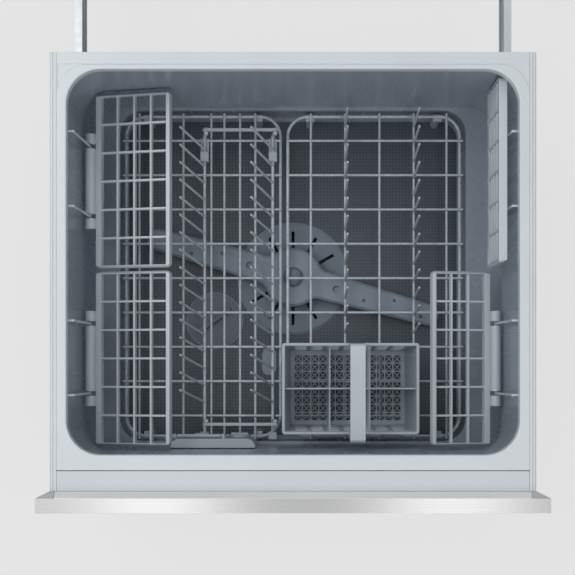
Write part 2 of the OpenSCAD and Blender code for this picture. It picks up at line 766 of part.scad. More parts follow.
module filter_plate() {
    color("slategray") translate([0, 0, floor_z + seat]) linear_extrude(plate_t) difference() {
        rrect(2 * well_hw - 12, 2 * well_hd - 12, well_r - 6);
        circle(cover_r + floor_groove, $fn = 128);
        translate([-filter_x, -filter_y]) circle(filter_r + floor_groove, $fn = 64);
        // finger slot
        translate([-33, -114]) {
            square([20, 18], center = true);
            for (s = [-1, 1]) translate([0, s * 9]) circle(10, $fn = 32);
        }
        // corner holes for the rack feet
        for (x = foot_xs, y = [-1, 1]) translate([x, y * foot_y]) circle(6.5, $fn = 32);
    }
}

module sump_cover() {
    z = floor_z + seat;
    color("slategray") difference() {
        union() {
            translate([0, 0, z]) cylinder(h = cover_t, r = cover_r, $fn = 128);
            translate([0, 0, z]) cylinder(h = hub_z - z, r = hub_base_r, $fn = 64);
            translate([0, 0, hub_z - 1]) cylinder(h = arm_t + 1.8, r = spindle_r, $fn = 32);
        }
        for (a = [0:30:330]) rotate([0, 0, a]) {
            translate([30, -2, z - 1]) cube([34, 4, cover_t + 2]);
        }
    }
}

module drain_filter() {
    z = floor_z + seat;
    color("darkgray") translate([-filter_x, -filter_y, 0]) {
        difference() {
            union() {
                translate([0, 0, z]) cylinder(h = 3, r = filter_r, $fn = 64);
                translate([0, 0, bowl_z + 5]) cylinder(h = z - bowl_z - 4, r = filter_r - 5, $fn = 64);
            }
            translate([0, 0, bowl_z + 4]) cylinder(h = z - bowl_z - 4, r = filter_r - 7.5, $fn = 64);
            for (a = [0:30:150]) rotate([0, 0, a])
                translate([-filter_r, -3, bowl_z + 10]) cube([2 * filter_r, 6, z - bowl_z - 14]);
        }
        rotate([0, 0, 35]) translate([-filter_r + 10, -3, z + 2]) cube([2 * filter_r - 20, 6, 9]);
    }
}

module spray_arm() {
    color("slategray") rotate([0, 0, -arm_turn]) difference() {
        translate([0, 0, arm_z]) union() {
            linear_extrude(arm_t - 3) arm_outline(0);
            translate([0, 0, arm_t - 3 - eps]) linear_extrude(1.6) arm_outline(1.2);
            translate([0, 0, arm_t - 1.5]) linear_extrude(1.5) arm_outline(3);
        }
        translate([0, 0, arm_z - 1]) cylinder(h = arm_t + 2, r = spindle_r + 0.08, $fn = 32);
        // jets
        for (s = [-1, 1], k = [0:3])
            translate([s * (61 + 40 * k), s * (k == 0 ? 0 : k % 2 == 0 ? 6 : -5), arm_z + arm_t - 5])
                cylinder(h = 6, r = k == 0 ? 4.5 : 2, $fn = 24);
    }
}

// hub and two blades, blended by fillets
module arm_outline(inset) {
    offset(r = -14, $fn = 48) offset(r = 14 - inset, $fn = 48) {
        circle(hub_r, $fn = 72);
        for (s = [0, 180]) rotate([0, 0, s]) hull() {
            circle(blade_root, $fn = 32);
            translate([arm_len - blade_tip, 0]) circle(blade_tip, $fn = 32);
        }
    }
}

module spray_arm_cap() {
    z = hub_z + arm_t + 0.8 + seat;
    color("gray") translate([0, 0, z]) rotate_extrude($fn = 48)
        polygon([[0, 0], [13, 0], [13, 3], [11, 5.5], [6, 7], [0, 7.5]]);
}

// ---- detergent dispenser on the front wall ----

disp_w = 108;
disp_h = 70;
disp_t = 12;
disp_x0 = -156;
disp_x1 = disp_x0 + disp_w;
disp_z0 = ledge_z + 22;
disp_z1 = disp_z0 + disp_h;
disp_y0 = -ledge_hd - tub_draft * (disp_z0 - ledge_z) / (tub_top - ledge_z) + 0.1;
lid_w = 56;
lid_x0 = disp_x0 + 8;
lid_x1 = lid_x0 + lid_w;
lid_z0 = disp_z0 + 11;
lid_z1 = disp_z1 - 12;
cap_x = disp_x1 - 21;                // centre of the rinse aid cap
cap_z = disp_z0 + disp_h / 2;

module dispenser_body() {
    y1 = disp_y0 + disp_t;
    color("lightgray") difference() {
        union() {
            // body, its inner corners rounded
            intersection() {
                block([disp_x0, disp_y0, disp_z0], [disp_x1, y1, disp_z1]);
                translate([(disp_x0 + disp_x1) / 2, disp_y0, disp_z0]) linear_extrude(disp_h)
                    rrect(disp_w, 2 * disp_t, disp_t - 1);
            }
            // ears for the lid's pin
            for (x = [lid_x0 - 5, lid_x1 + 1]) block([x, y1, lid_z1 - 3], [x + 4, y1 + 6, lid_z1 + 5]);
        }
        block([lid_x0 + 4, y1 - 9, lid_z0 + 4], [lid_x1 - 4, y1 + 1, lid_z1 - 4]);
        rod_x(lid_x0 - 6, lid_x1 + 6, y1 + 3, lid_z1 + 1, 1.5 + hinge_gap);
        rod_y(cap_x, y1 - 6, y1 + 1, cap_z, 13);
    }
}

module dispenser_lid() {
    y1 = disp_y0 + disp_t;
    color("gainsboro") {
        block([lid_x0, y1 + 0.4, lid_z0], [lid_x1, y1 + 2.6, lid_z1 - 1.2]);
        rod_x(lid_x0 - 4.5, lid_x1 + 4.5, y1 + 3, lid_z1 + 1, 1.5);
        rod_x(lid_x0, lid_x1, y1 + 3, lid_z1 + 1, 2.5);
        block([lid_x0 + 20, y1 + 2.6 - eps, lid_z0 + 3], [lid_x1 - 20, y1 + 4.6, lid_z0 + 6]);
    }
}

module rinse_aid_cap() {
    y1 = disp_y0 + disp_t;
    color("steelblue") translate([cap_x, y1, cap_z]) rotate([-90, 0, 0]) {
        translate([0, 0, -5]) cylinder(h = 5, r = 12.7, $fn = 48);
        translate([0, 0, 0.3]) cylinder(h = 3, r = 15, $fn = 48);
        translate([0, 0, -0.1]) cylinder(h = 0.5, r = 12, $fn = 48);
        translate([-11, -1.5, 3.2]) cube([22, 3, 3]);
    }
}

// ---- base racks ----

module cross_wires(x0, x1) {
    for (k = [-cross_half:cross_half])
        rod([x0, cross_y0 + k * cross_pitch, cross_z], [x1, cross_y0 + k * cross_pitch, cross_z], wire_r);
}

module long_wires(xs) {
    for (x = xs) rod([x, -rack_hd - wire_out, long_z], [x, rack_hd + wire_out, long_z], wire_r);
}

module left_rack_frame() {
    color("lightslategray") wire_loop(-rack_x1, left_x1, -rack_hd, rack_hd, rack_z, rack_corner, frame_r);
}

module left_rack_wires() {
    color("lightslategray") {
        cross_wires(-rack_x1 - wire_out, left_x1 + frame_r);
        long_wires(left_long);
    }
}

module right_rack_frame() {
    color("lightslategray") wire_loop(right_x0, rack_x1, -rack_hd, rack_hd, rack_z, rack_corner, frame_r);
}

module right_rack_wires() {
    color("lightslategray") {
        cross_wires(right_x0 - frame_r, rack_x1 + wire_out);
        long_wires(right_long);
    }
}

module plate_tines() {
    z = long_z + wire_r + seat;
    color("lightslategray") for (x = [tine_x0, tine_x0 + tine_row_gap], k = [0:tine_n - 1]) {
        y = tine_y0 - k * cross_pitch / 2;
        rod([x, y, z], [x, y + tine_lean, z + tine_h], wire_r);
    }
}

foot_xs = [-rack_x1 + 30, left_x1 - 30, right_x0 + 30, rack_x1 - 30];
foot_y = rack_hd - 2;

module rack_feet() {
    color("gray") for (x = foot_xs, y = [-1, 1]) difference() {
        union() {
            translate([x, y * foot_y, floor_z + seat]) cylinder(h = rack_z - floor_z - 1, r1 = 5.5, r2 = 4.5, $fn = 32);
            block([x - 6, y * foot_y - 4.5, rack_z - 8], [x + 6, y * foot_y + 4.5, rack_z + 1]);
        }
        rod_x(x - 10, x + 10, y * rack_hd, rack_z, frame_r + seat);
    }
}

// ---- folding tines ----

// a shaft with its leaning tines and the two cranks of the link bars
module fold_row(x) {
    y0 = fold_rear - fold_back - (fold_n - 1) * fold_pitch;
    color("lightslategray") {
        rod_y(x, -shaft_front, crank_rear + crank_t, shaft_z, shaft_r);
        for (k = [0:fold_n - 1])
            rod([x - (shaft_r + seat) * sin(fold_tilt), y0 + k * fold_pitch, shaft_z + (shaft_r + seat) * cos(fold_tilt)],
                [x - fold_lean, y0 + k * fold_pitch + fold_back, shaft_z + fold_h], wire_r);
        crank(x, crank_front, -1);
        crank(x, crank_rear, 1);
    }
}

// flat crank on a shaft; its pin points to the rack's end (e)
module crank(x, y, e) {
    pin = crank_t / 2 + 1 + link_t + 1;
    difference() {
        union() {
            translate([x, y, shaft_z]) rotate([0, -crank_tilt, 0])
                translate([-crank_hw, -crank_t / 2, 0]) cube([2 * crank_hw, crank_t, crank_len + 2]);
            rod_y(x - pin_dx, min(y, y + e * pin), max(y, y + e * pin), shaft_z + pin_dz, pin_r);
        }
        rod_y(x, y - crank_t, y + crank_t, shaft_z, shaft_r + 0.05);
    }
}

module fold_row_outer() { fold_row(fold_x0); }
module fold_row_inner() { fold_row(fold_x1); }

// bar that joins the cranks of the two rows, at one end of the rack
module fold_link(y, e) {
    y0 = min(y + e * (crank_t / 2 + 1), y + e * (crank_t / 2 + 1 + link_t));
    z = shaft_z + pin_dz;
    color("lightgray") difference() {
        union() {
            block([fold_x0 - pin_dx, y0, z - 3.2], [fold_x1 - pin_dx, y0 + link_t, z + 3.2]);
            for (x = [fold_x0, fold_x1]) rod_y(x - pin_dx, y0, y0 + link_t, z, 4.5);
        }
        for (x = [fold_x0, fold_x1]) rod_y(x - pin_dx, y0 - 1, y0 + link_t + 1, z, pin_r + hinge_gap);
    }
}

module fold_link_front() { fold_link(crank_front, -1); }
module fold_link_rear() { fold_link(crank_rear, 1); }

// moulded bearings: two on the rack's front end wire, two on its last cross wire
module fold_clips() {
    color("lightgray") for (x = [fold_x0, fold_x1]) difference() {
        union() {
            block([x - clip_hw, -clip_y - 5, rack_z + frame_r + seat], [x + clip_hw, -clip_y + 5, shaft_z + 5]);
            block([x - clip_hw, rear_wire - 29, cross_z - 4], [x + clip_hw, rear_wire - 16, shaft_z + 5]);
            block([x - clip_hw, rear_wire - 17, cross_z - 4], [x + clip_hw, rear_wire + 3, cross_z + 1]);
        }
        rod_y(x, -clip_y - 12, rear_wire + 12, shaft_z, shaft_r + hinge_gap);
        rod_x(x - 2 * clip_hw, x + 2 * clip_hw, rear_wire, cross_z, wire_r + seat);
    }
}

// ---- cup racks ----

cup_ys = [cup_mid, -cup_mid];

// bent wire that hangs from the wall: the hinge run, two uprights and two hooks
module hanger(s, y) {
    thin = wire_r - 0.05;
    wall = tub_hw - 0.4;
    run = hanger_gap / 2 + wire_r;
    for (e = [-1, 1]) {
        a = [s * axis_x, y + e * hanger_gap / 2, axis_z];
        v = [s * hook_lean, 0, hook_z - axis_z];
        translate(a) rotate([0, atan2(v[0], v[2]), 0]) translate([0, 0, -1]) cylinder(h = norm(v) + 1.2, r = thin, $fn = 24);
        rod_x(min(a[0] + v[0] - s * 1.2, s * wall), max(a[0] + v[0] - s * 1.2, s * wall), a[1], hook_z, thin - 0.05);
    }
    rod_y(s * axis_x, y - run, y + run, axis_z, wire_r);
}

module hanger_wires() {
    color("lightslategray") for (s = [-1, 1], y = cup_ys) hanger(s, y);
}

// side view of a cup rack: its ends are bevelled on top, so that it clears the tub's corner
module cup_side() {
    l = cup_len / 2;
    bevel = cup_h / 2;
    rotate([90, 0, 90]) linear_extrude(2 * axis_x, center = true)
        polygon([[-l, cup_top - cup_h], [l, cup_top - cup_h], [l, cup_top - bevel], [l - bevel / 2, cup_top],
            [-l + bevel / 2, cup_top], [-l, cup_top - bevel]]);
}

// a level cup rack at the left wall; w is its width
module cup_rack(y, w) {
    x0 = -cup_out;
    x1 = x0 + w;
    nx = round((w - cup_bar - 5) / 21);
    cx = (w - cup_bar - 5 + cup_rib) / nx;
    cy = (cup_len - 2 * 3.5 + cup_rib) / cup_cells;
    half = hanger_gap / 2 - wire_r - knuckle_gap;
    translate([0, y, 0]) difference() {
        union() {
            // frame
            intersection() {
                translate([(x0 + x1) / 2, 0, cup_top - cup_h]) linear_extrude(cup_h) difference() {
                    rrect(w, cup_len, 6);
                    translate([(cup_bar - 5) / 2, 0]) square([w - cup_bar - 5, cup_len - 7], center = true);
                }
                cup_side();
            }
            // ribs
            translate([0, 0, cup_top - cup_h + 0.5]) linear_extrude(cup_h - 3) {
                for (i = [1:nx - 1])
                    translate([x0 + cup_bar + i * cx - cup_rib, -cup_len / 2 + 1]) square([cup_rib, cup_len - 2]);
                for (j = [1:cup_cells - 1])
                    translate([x0 + 1, -cup_len / 2 + 3.5 + j * cy - cup_rib]) square([w - 2, cup_rib]);
            }
            // knuckle between the uprights and a boss outside each
            rod_y(-axis_x, -half, half, axis_z, knuckle_r);
            for (e = [-1, 1]) {
                y0 = e * (hanger_gap / 2 + wire_r + knuckle_gap);
                rod_y(-axis_x, min(y0, y0 + e * 13), max(y0, y0 + e * 13), axis_z, knuckle_r);
                block([-axis_x, min(y0, y0 + e * 13), axis_z - knuckle_r + 0.3], [x0 + 3, max(y0, y0 + e * 13), cup_top - 0.5]);
            }
            block([-axis_x, -half, axis_z - knuckle_r + 0.3], [x0 + 3, half, cup_top - 0.5]);
        }
        rod_y(-axis_x, -hanger_gap / 2 - 1, hanger_gap / 2 + 1, axis_z, wire_r + hinge_gap);
    }
}

// a cup rack turned up about its hinge by the angle a
module turned_rack(y, w, a) {
    translate([-axis_x, 0, axis_z]) rotate([0, -a, 0]) translate([axis_x, 0, -axis_z]) cup_rack(y, w);
}

module cup_rack_rear_left() {
    color("silver") turned_rack(cup_mid, cup_wide, cup_tilt);
}

module cup_rack_front_left() {
    color("silver") turned_rack(-cup_mid, cup_wide, cup_tilt);
}

module cup_rack_front_right() {
    color("silver") mirror([1, 0, 0]) turned_rack(-cup_mid, cup_narrow, cup_tilt);
}

// this one is folded up against the wall
module cup_rack_rear_right() {
    color("silver") mirror([1, 0, 0]) turned_rack(cup_mid, cup_wide, 90);
}

// ---- cutlery basket ----

module basket_wall_form(grow) {
    hull() {
        translate([0, 0, grow < 0 ? basket_t : 0]) linear_extrude(eps)
            square([basket_w - 2 * basket_slope + 2 * grow, basket_d - 10 + 2 * grow], center = true);
        translate([0, 0, basket_h + (grow < 0 ? 0 : -eps)]) linear_extrude(eps)
            square([basket_w + 2 * grow, basket_d + 2 * grow], center = true);
    }
}

module cutlery_basket() {
    fw = basket_w - 2 * basket_slope;
    fd = basket_d - 10;
    rib = 1.6;
    nx = floor((fw - 6) / lattice);
    ny = floor((fd - 6) / lattice);
    color("silver") translate([basket_x, basket_y, basket_z]) difference() {
        union() {
            difference() {
                basket_wall_form(0);
                basket_wall_form(-basket_t);
            }
            // rolled rim
            difference() {
                translate([0, 0, basket_h - 4]) linear_extrude(4) rrect(basket_w + 3, basket_d + 3, 4);
                translate([0, 0, basket_h - 5]) linear_extrude(6)
                    square([basket_w - 2 * basket_t, basket_d - 2 * basket_t], center = true);
            }
            // dividers: one along the basket, two across
            translate([0, 0, basket_h / 2]) cube([basket_w - 6, 1.8, basket_h - 8], center = true);
            for (x = [-1, 1])
                translate([x * 0.15 * basket_w, 0, basket_h / 2 - 5]) cube([1.8, basket_d - 8, basket_h - 18], center = true);
        }
        // lattice floor
        for (i = [0:nx - 1], j = [0:ny - 1])
            translate([(i - (nx - 1) / 2) * lattice, (j - (ny - 1) / 2) * lattice, 0])
                cube([lattice - rib, lattice - rib, 2 * basket_t + 2], center = true);
        // windows in the long walls
        for (i = [-3:3], j = [0:3])
            translate([i * 21, 0, 14 + j * 20 + 7]) cube([15, basket_d + 10, 13], center = true);
    }
}

module basket_handle() {
    t = 3;
    yo = basket_d / 2 + 1.5;
    yr = yo - 2.3;
    yf = yo + strap_lean;
    color("gainsboro") translate([basket_x + strap_x, basket_y, basket_z + basket_h + seat])
        rotate([90, 0, 90]) linear_extrude(strap_w, center = true)
            polygon([[-yo, 0], [-yf, strap_rise - t], [-yf + t, strap_rise], [yr - t, strap_rise], [yr, strap_rise - t],
                [yo, 0], [yo - t, 0], [yr - t, strap_rise - t], [-yf + t, strap_rise - t], [-yo + t, 0]]);
}

// ---- the drawer ----

tub();
tub_rim();
front_apron();
rim_side_trims();
front_skin();
panel_end_caps();
front_frame();
grip_recess();
front_brackets();
control_board();
status_lenses();
key(3);  // power_key
key(2);  // start_key
key(1);  // wash_key
key(0);  // lock_key
fixed_rail(-1);  // fixed_rail_left
fixed_rail(1);  // fixed_rail_right
mid_rail(-1);  // mid_rail_left
mid_rail(1);  // mid_rail_right
drawer_rail(-1);  // drawer_rail_left
drawer_rail(1);  // drawer_rail_right
rail_screws();
base_tray();
tray_screws();
sump_housing();
wash_motor();
wash_impeller();
drain_pump();
heater_element();
filter_plate();
sump_cover();
drain_filter();
spray_arm();
spray_arm_cap();
dispenser_body();
dispenser_lid();
rinse_aid_cap();
left_rack_frame();
left_rack_wires();
right_rack_frame();
right_rack_wires();
plate_tines();
rack_feet();
fold_row_outer();
fold_row_inner();
fold_link_front();
fold_link_rear();
fold_clips();
hanger_wires();
cup_rack_rear_left();
cup_rack_front_left();
cup_rack_rear_right();
cup_rack_front_right();
cutlery_basket();
basket_handle();
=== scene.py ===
# %% [markdown]
# # A dishwasher drawer, dressed
# The solids of this drawer come from a CAD model, in metres, standing on z = 0. The user's side is -Y, and
# the photograph looks straight down into the open tub. This lesson loads those solids, gives each one the
# finish of its real material, and adds the rounded edges and small mouldings that the solids leave plain.

# %% Load the solids
import bpy
import bmesh
import json
import math
from mathutils import Matrix, Vector


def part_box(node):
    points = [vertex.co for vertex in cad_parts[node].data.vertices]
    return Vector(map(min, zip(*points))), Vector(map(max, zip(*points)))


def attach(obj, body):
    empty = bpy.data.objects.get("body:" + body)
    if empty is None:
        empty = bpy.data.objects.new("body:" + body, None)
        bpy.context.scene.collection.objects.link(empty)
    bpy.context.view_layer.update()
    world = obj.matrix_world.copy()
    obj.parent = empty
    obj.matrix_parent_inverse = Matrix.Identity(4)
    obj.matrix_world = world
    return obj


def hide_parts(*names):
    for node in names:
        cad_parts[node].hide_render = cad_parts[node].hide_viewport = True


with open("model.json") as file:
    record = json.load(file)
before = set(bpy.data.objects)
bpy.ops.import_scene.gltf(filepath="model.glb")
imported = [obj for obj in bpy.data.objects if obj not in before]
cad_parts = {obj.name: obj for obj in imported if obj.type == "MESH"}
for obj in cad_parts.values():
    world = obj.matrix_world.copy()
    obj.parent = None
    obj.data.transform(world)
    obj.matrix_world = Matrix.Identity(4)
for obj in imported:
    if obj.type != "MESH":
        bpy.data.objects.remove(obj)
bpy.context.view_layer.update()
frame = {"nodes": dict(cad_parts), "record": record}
nodes = frame["nodes"]

# %% [markdown]
# ## Where the camera stands
# The photograph was taken from straight above the tub's front half, 1.6 m over the rim. One pixel of it is
# 1.166 mm at the rim. Its optical axis meets the picture off the middle. A camera could be turned to put the
# drawer in its place, but then its two sides would run together, so a small lens shift does it instead.

# %% Camera
RIM_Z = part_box("tub_rim")[1].z
VIEW_HEIGHT = 1.600          # lens above the rim, in metres
PIXEL_AT_RIM = 0.001166      # metres per pixel at the rim
PICTURE = 575                # pixels a side
AXIS_PX, AXIS_PY = 293.0, 370.0
AXIS_Y = -0.126              # where the optical axis meets the rim's plane
SENSOR_MM = 36.0
FARTHEST = 20.0              # metres

camera_data = bpy.data.cameras.new("camera")
camera_data.sensor_width = SENSOR_MM
camera_data.lens = SENSOR_MM * VIEW_HEIGHT / PIXEL_AT_RIM / PICTURE
camera_data.shift_x = (PICTURE / 2 - AXIS_PX) / PICTURE
camera_data.shift_y = (AXIS_PY - PICTURE / 2) / PICTURE
camera_data.clip_end = FARTHEST
camera = bpy.data.objects.new("camera", camera_data)
camera.location = (0.0, AXIS_Y, RIM_Z + VIEW_HEIGHT)
bpy.context.scene.collection.objects.link(camera)
bpy.context.scene.camera = camera
print("lens", round(camera_data.lens, 2), "mm")

# %% [markdown]
# ## Small tools for materials
# Colours are written as the sRGB values that a colour picker shows, and one function turns them to the
# linear values that the shader wants. Another adds a node, with its settings and its links, in one line.
# A third makes a colour a little darker or lighter, because no real surface is one even colour.

# %% Colour and node helpers
def linear(hex_colour):
    out = []
    for i in (1, 3, 5):
        c = int(hex_colour[i:i + 2], 16) / 255
        out.append(c / 12.92 if c <= 0.04045 else ((c + 0.055) / 1.055) ** 2.4)
    return (*out, 1.0)


def shade(hex_colour, factor):
    return (*(min(1.0, c * factor) for c in linear(hex_colour)[:3]), 1.0)


def add(tree, kind, settings=None, inputs=None):
    node = tree.nodes.new("ShaderNode" + kind)
    for key, value in (settings or {}).items():
        setattr(node, key, value)
    for key, value in (inputs or {}).items():
        if isinstance(value, bpy.types.NodeSocket):
            tree.links.new(value, node.inputs[key])
        else:
            node.inputs[key].default_value = value
    return node


print("a picker's mid grey is", round(linear("#808080")[0], 3), "to the shader")

# %% [markdown]
# ## Starting a material
# Every finish here starts from the same shader, with the real material's typical roughness and, for metals,
# a metallic of 1. The place on the piece is read in metres, so that a pattern has its real size on it. Most
# finishes then vary the roughness a little, from the same pattern that varies the colour.

# %% Material helpers
def new_material(name, hex_colour, **sockets):
    material = bpy.data.materials.new(name)
    material.use_nodes = True
    shader = material.node_tree.nodes["Principled BSDF"]
    shader.inputs["Base Color"].default_value = linear(hex_colour)
    material.diffuse_color = linear(hex_colour)
    for key, value in sockets.items():
        shader.inputs[key.replace("_", " ")].default_value = value
    return material, material.node_tree, shader


def object_place(tree):
    return add(tree, "TexCoord").outputs["Object"]


def vary_roughness(tree, shader, pattern, low, high, **window):
    spread = {"Value": pattern, "To Min": low, "To Max": high}
    spread.update({key.replace("_", " "): value for key, value in window.items()})
    gloss = add(tree, "MapRange", inputs=spread)
    tree.links.new(gloss.outputs["Result"], shader.inputs["Roughness"])


def roughen(tree, shader, pattern, strength, depth):
    bump = add(tree, "Bump", inputs={"Height": pattern, "Strength": strength, "Distance": depth})
    tree.links.new(bump.outputs["Normal"], shader.inputs["Normal"])


print("helpers ready")

# %% [markdown]
# ## Moulded plastic
# Most of the drawer is injection moulded. Such a surface is even in colour but never optically flat: it has
# a fine spark eroded texture from the mould, and very shallow sink marks a few centimetres across. The
# texture is about 0.4 mm on the real thing; it is drawn at 1.2 mm so that it shows at all.

# %% Moulded plastic
GRAIN_MM = 1.2
GRAIN_DEPTH = 0.0002         # metres
GRAIN_STRENGTH = 0.06
SINK_MARKS_PER_METRE = 14.0


def moulded(name, hex_colour, roughness=0.42, mottle=0.05):
    material, tree, shader = new_material(name, hex_colour, Roughness=roughness)
    place = object_place(tree)
    fine = add(tree, "TexNoise", inputs={"Vector": place, "Scale": 1000 / GRAIN_MM, "Detail": 2.0})
    broad = add(tree, "TexNoise", inputs={"Vector": place, "Scale": SINK_MARKS_PER_METRE, "Detail": 3.0})
    tone = add(tree, "Mix", {"data_type": "RGBA"},
               {"Factor": broad.outputs["Fac"], "A": shade(hex_colour, 1 - mottle),
                "B": shade(hex_colour, 1 + mottle)})
    tree.links.new(tone.outputs["Result"], shader.inputs["Base Color"])
    vary_roughness(tree, shader, broad.outputs["Fac"], roughness - 0.05, roughness + 0.06)
    roughen(tree, shader, fine.outputs["Fac"], GRAIN_STRENGTH, GRAIN_DEPTH)
    return material


print("mould texture drawn at", GRAIN_MM, "mm")

# %% [markdown]
# ## The mouldings' colours
# The plastics differ in colour and gloss by what they are for. The parts that a hand meets, such as the rim
# and the keys, are pale and polished. Parts inside the tub are satin greys, and the hidden ones are dark.

# %% Every moulding's colour
MOULDINGS = {
    "rim_polypropylene": ("#d3d9dd", 0.3),
    "apron_polypropylene": ("#ccd2d6", 0.3),
    "cup_rack_polypropylene": ("#c3cad0", 0.38),
    "basket_polypropylene": ("#b0b9c1", 0.38),
    "handle_polypropylene": ("#c4ccd3", 0.36),
    "clip_nylon": ("#b4bcc3", 0.4),
    "spray_arm_polypropylene": ("#828d98", 0.4),
    "sump_cover_polypropylene": ("#76828e", 0.42),
    "filter_polypropylene": ("#6a747e", 0.42),
    "dispenser_polypropylene": ("#a0a9b0", 0.35),
    "base_polypropylene": ("#50565c", 0.5),
    "dark_polypropylene": ("#3a3f44", 0.5),
    "impeller_acetal": ("#cfd2d0", 0.35),
    "end_cap_abs": ("#b4b8bb", 0.35),
    "key_abs": ("#c9cdd0", 0.3),
    "lens_polycarbonate": ("#d8ecf2", 0.1),
    "rinse_cap_polypropylene": ("#8b979f", 0.35),
    "board_laminate": ("#1f5a3a", 0.4),
    "motor_enamel": ("#3c4147", 0.45),
}
MATERIALS = {name: moulded(name, colour, rough) for name, (colour, rough) in MOULDINGS.items()}
print(len(MATERIALS), "mouldings and coats")

# %% [markdown]
# ## The tub's wall
# The tub is one deep moulding. Its walls are glossier than the small parts, because the mould is polished so
# that it draws off such a depth, and the polish leaves faint upright streaks. A noise that is stretched
# upright gives them, and it changes the gloss more than the height.

# %% Tub wall
STREAK_MM = 18.0
STREAKS_PER_METRE_UP = 1.2
STREAK_DEPTH = 0.0006        # metres


def deep_moulded(name, hex_colour, roughness=0.26):
    material = moulded(name, hex_colour, roughness, mottle=0.02)
    tree = material.node_tree
    shader = tree.nodes["Principled BSDF"]
    across = 1000 / STREAK_MM
    upright = add(tree, "Mapping", inputs={"Vector": object_place(tree),
                                           "Scale": (across, across, STREAKS_PER_METRE_UP)})
    streaks = add(tree, "TexNoise", inputs={"Vector": upright.outputs["Vector"], "Scale": 1.0, "Detail": 4.0})
    vary_roughness(tree, shader, streaks.outputs["Fac"], roughness - 0.03, roughness + 0.04,
                   From_Min=0.3, From_Max=0.7)
    roughen(tree, shader, streaks.outputs["Fac"], 0.035, STREAK_DEPTH)
    return material


MATERIALS["tub_polypropylene"] = deep_moulded("tub_polypropylene", "#949fa9")
print("tub wall streaks about every", STREAK_MM, "mm")

# %% [markdown]
# ## The filter plate
# The plate over the well's floor is a dark moulding, pierced by fine holes that hold back food. The real
# holes are about 1 mm wide and 2.4 mm apart. That is about two pixels here, so they are drawn 4.5 mm apart.
# Cutting thousands of holes would cost more than they show, so the finish draws them: the place is cut into
# square cells, and a point that is near its cell's middle is in the hole.

# %% Filter plate
HOLE_PITCH_MM = 4.5
HOLE_RADIUS = 0.24           # of the pitch


def pierced(name, hex_colour, hole_colour, roughness=0.36):
    material = moulded(name, hex_colour, roughness)
    tree = material.node_tree
    shader = tree.nodes["Principled BSDF"]
    plain = shader.inputs["Base Color"].links[0].from_socket
    cells = 1000 / HOLE_PITCH_MM
    flat = add(tree, "VectorMath", {"operation": "MULTIPLY"}, {0: object_place(tree), 1: (cells, cells, 0.0)})
    cell = add(tree, "VectorMath", {"operation": "FRACTION"}, {0: flat.outputs["Vector"]})
    centred = add(tree, "VectorMath", {"operation": "SUBTRACT"},
                  {0: cell.outputs["Vector"], 1: (0.5, 0.5, 0.0)})
    away = add(tree, "VectorMath", {"operation": "LENGTH"}, {0: centred.outputs["Vector"]})
    inside = add(tree, "Math", {"operation": "LESS_THAN"}, {0: away.outputs["Value"], 1: HOLE_RADIUS})
    tone = add(tree, "Mix", {"data_type": "RGBA"},
               {"Factor": inside.outputs["Value"], "A": plain, "B": linear(hole_colour)})
    tree.links.new(tone.outputs["Result"], shader.inputs["Base Color"])
    return material


MATERIALS["pierced_filter_plate"] = pierced("pierced_filter_plate", "#4a545e", "#2c343c")
print("filter plate pierced every", HOLE_PITCH_MM, "mm")

# %% [markdown]
# ## Coated wire
# The racks are steel wire dipped in nylon powder, which melts to a thick, slightly uneven, satin coat. It
# pools a little, so the tone and the surface change every few millimetres. A thin clear coat over the
# colour gives the melted skin.

# %% Coated wire
POOL_MM = 6.0
POOL_DEPTH = 0.0004          # metres


def coated_wire(name, hex_colour):
    material, tree, shader = new_material(name, hex_colour, Roughness=0.35, Coat_Weight=0.2,
                                          Coat_Roughness=0.25)
    pool = add(tree, "TexNoise", inputs={"Vector": object_place(tree), "Scale": 1000 / POOL_MM, "Detail": 2.0})
    tone = add(tree, "ValToRGB", inputs={"Fac": pool.outputs["Fac"]})
    thin, thick = tone.color_ramp.elements
    thin.position, thick.position = 0.3, 0.7
    thin.color, thick.color = shade(hex_colour, 0.86), shade(hex_colour, 1.1)
    tree.links.new(tone.outputs["Color"], shader.inputs["Base Color"])
    roughen(tree, shader, pool.outputs["Fac"], 0.15, POOL_DEPTH)
    return material


MATERIALS["nylon_wire"] = coated_wire("nylon_wire", "#c6cdd4")
print("wire coat pools every", POOL_MM, "mm")

# %% [markdown]
# ## Brushed steel
# The front panel is brushed stainless steel, with grain lines along its width. The lines are a noise that is
# stretched some 500 times along X; real lines are some 0.05 mm apart and are drawn at about 0.6 mm. A brushed
# surface also spreads a reflection across its grain and keeps it sharp along it, which is what turns a lamp
# into a band of light across the panel's top. The shader's anisotropy does that, with a tangent around X.

# %% Brushed steel
GRAIN_LINES = (3.0, 1600.0, 1600.0)    # per metre along X, Y and Z
LINE_DEPTH = 0.0001                    # metres


def brushed_steel(name, hex_colour, roughness=0.28):
    material, tree, shader = new_material(name, hex_colour, Metallic=1.0, Roughness=roughness,
                                          Anisotropic=0.8)
    stretched = add(tree, "Mapping", inputs={"Vector": object_place(tree), "Scale": GRAIN_LINES})
    lines = add(tree, "TexNoise", inputs={"Vector": stretched.outputs["Vector"], "Scale": 1.0, "Detail": 3.0})
    tone = add(tree, "Mix", {"data_type": "RGBA"},
               {"Factor": lines.outputs["Fac"], "A": shade(hex_colour, 0.92), "B": shade(hex_colour, 1.06)})
    tree.links.new(tone.outputs["Result"], shader.inputs["Base Color"])
    vary_roughness(tree, shader, lines.outputs["Fac"], roughness - 0.07, roughness + 0.09)
    roughen(tree, shader, lines.outputs["Fac"], 0.02, LINE_DEPTH)
    around_x = add(tree, "Tangent", {"direction_type": "RADIAL", "axis": "X"})
    tree.links.new(around_x.outputs["Tangent"], shader.inputs["Tangent"])
    return material


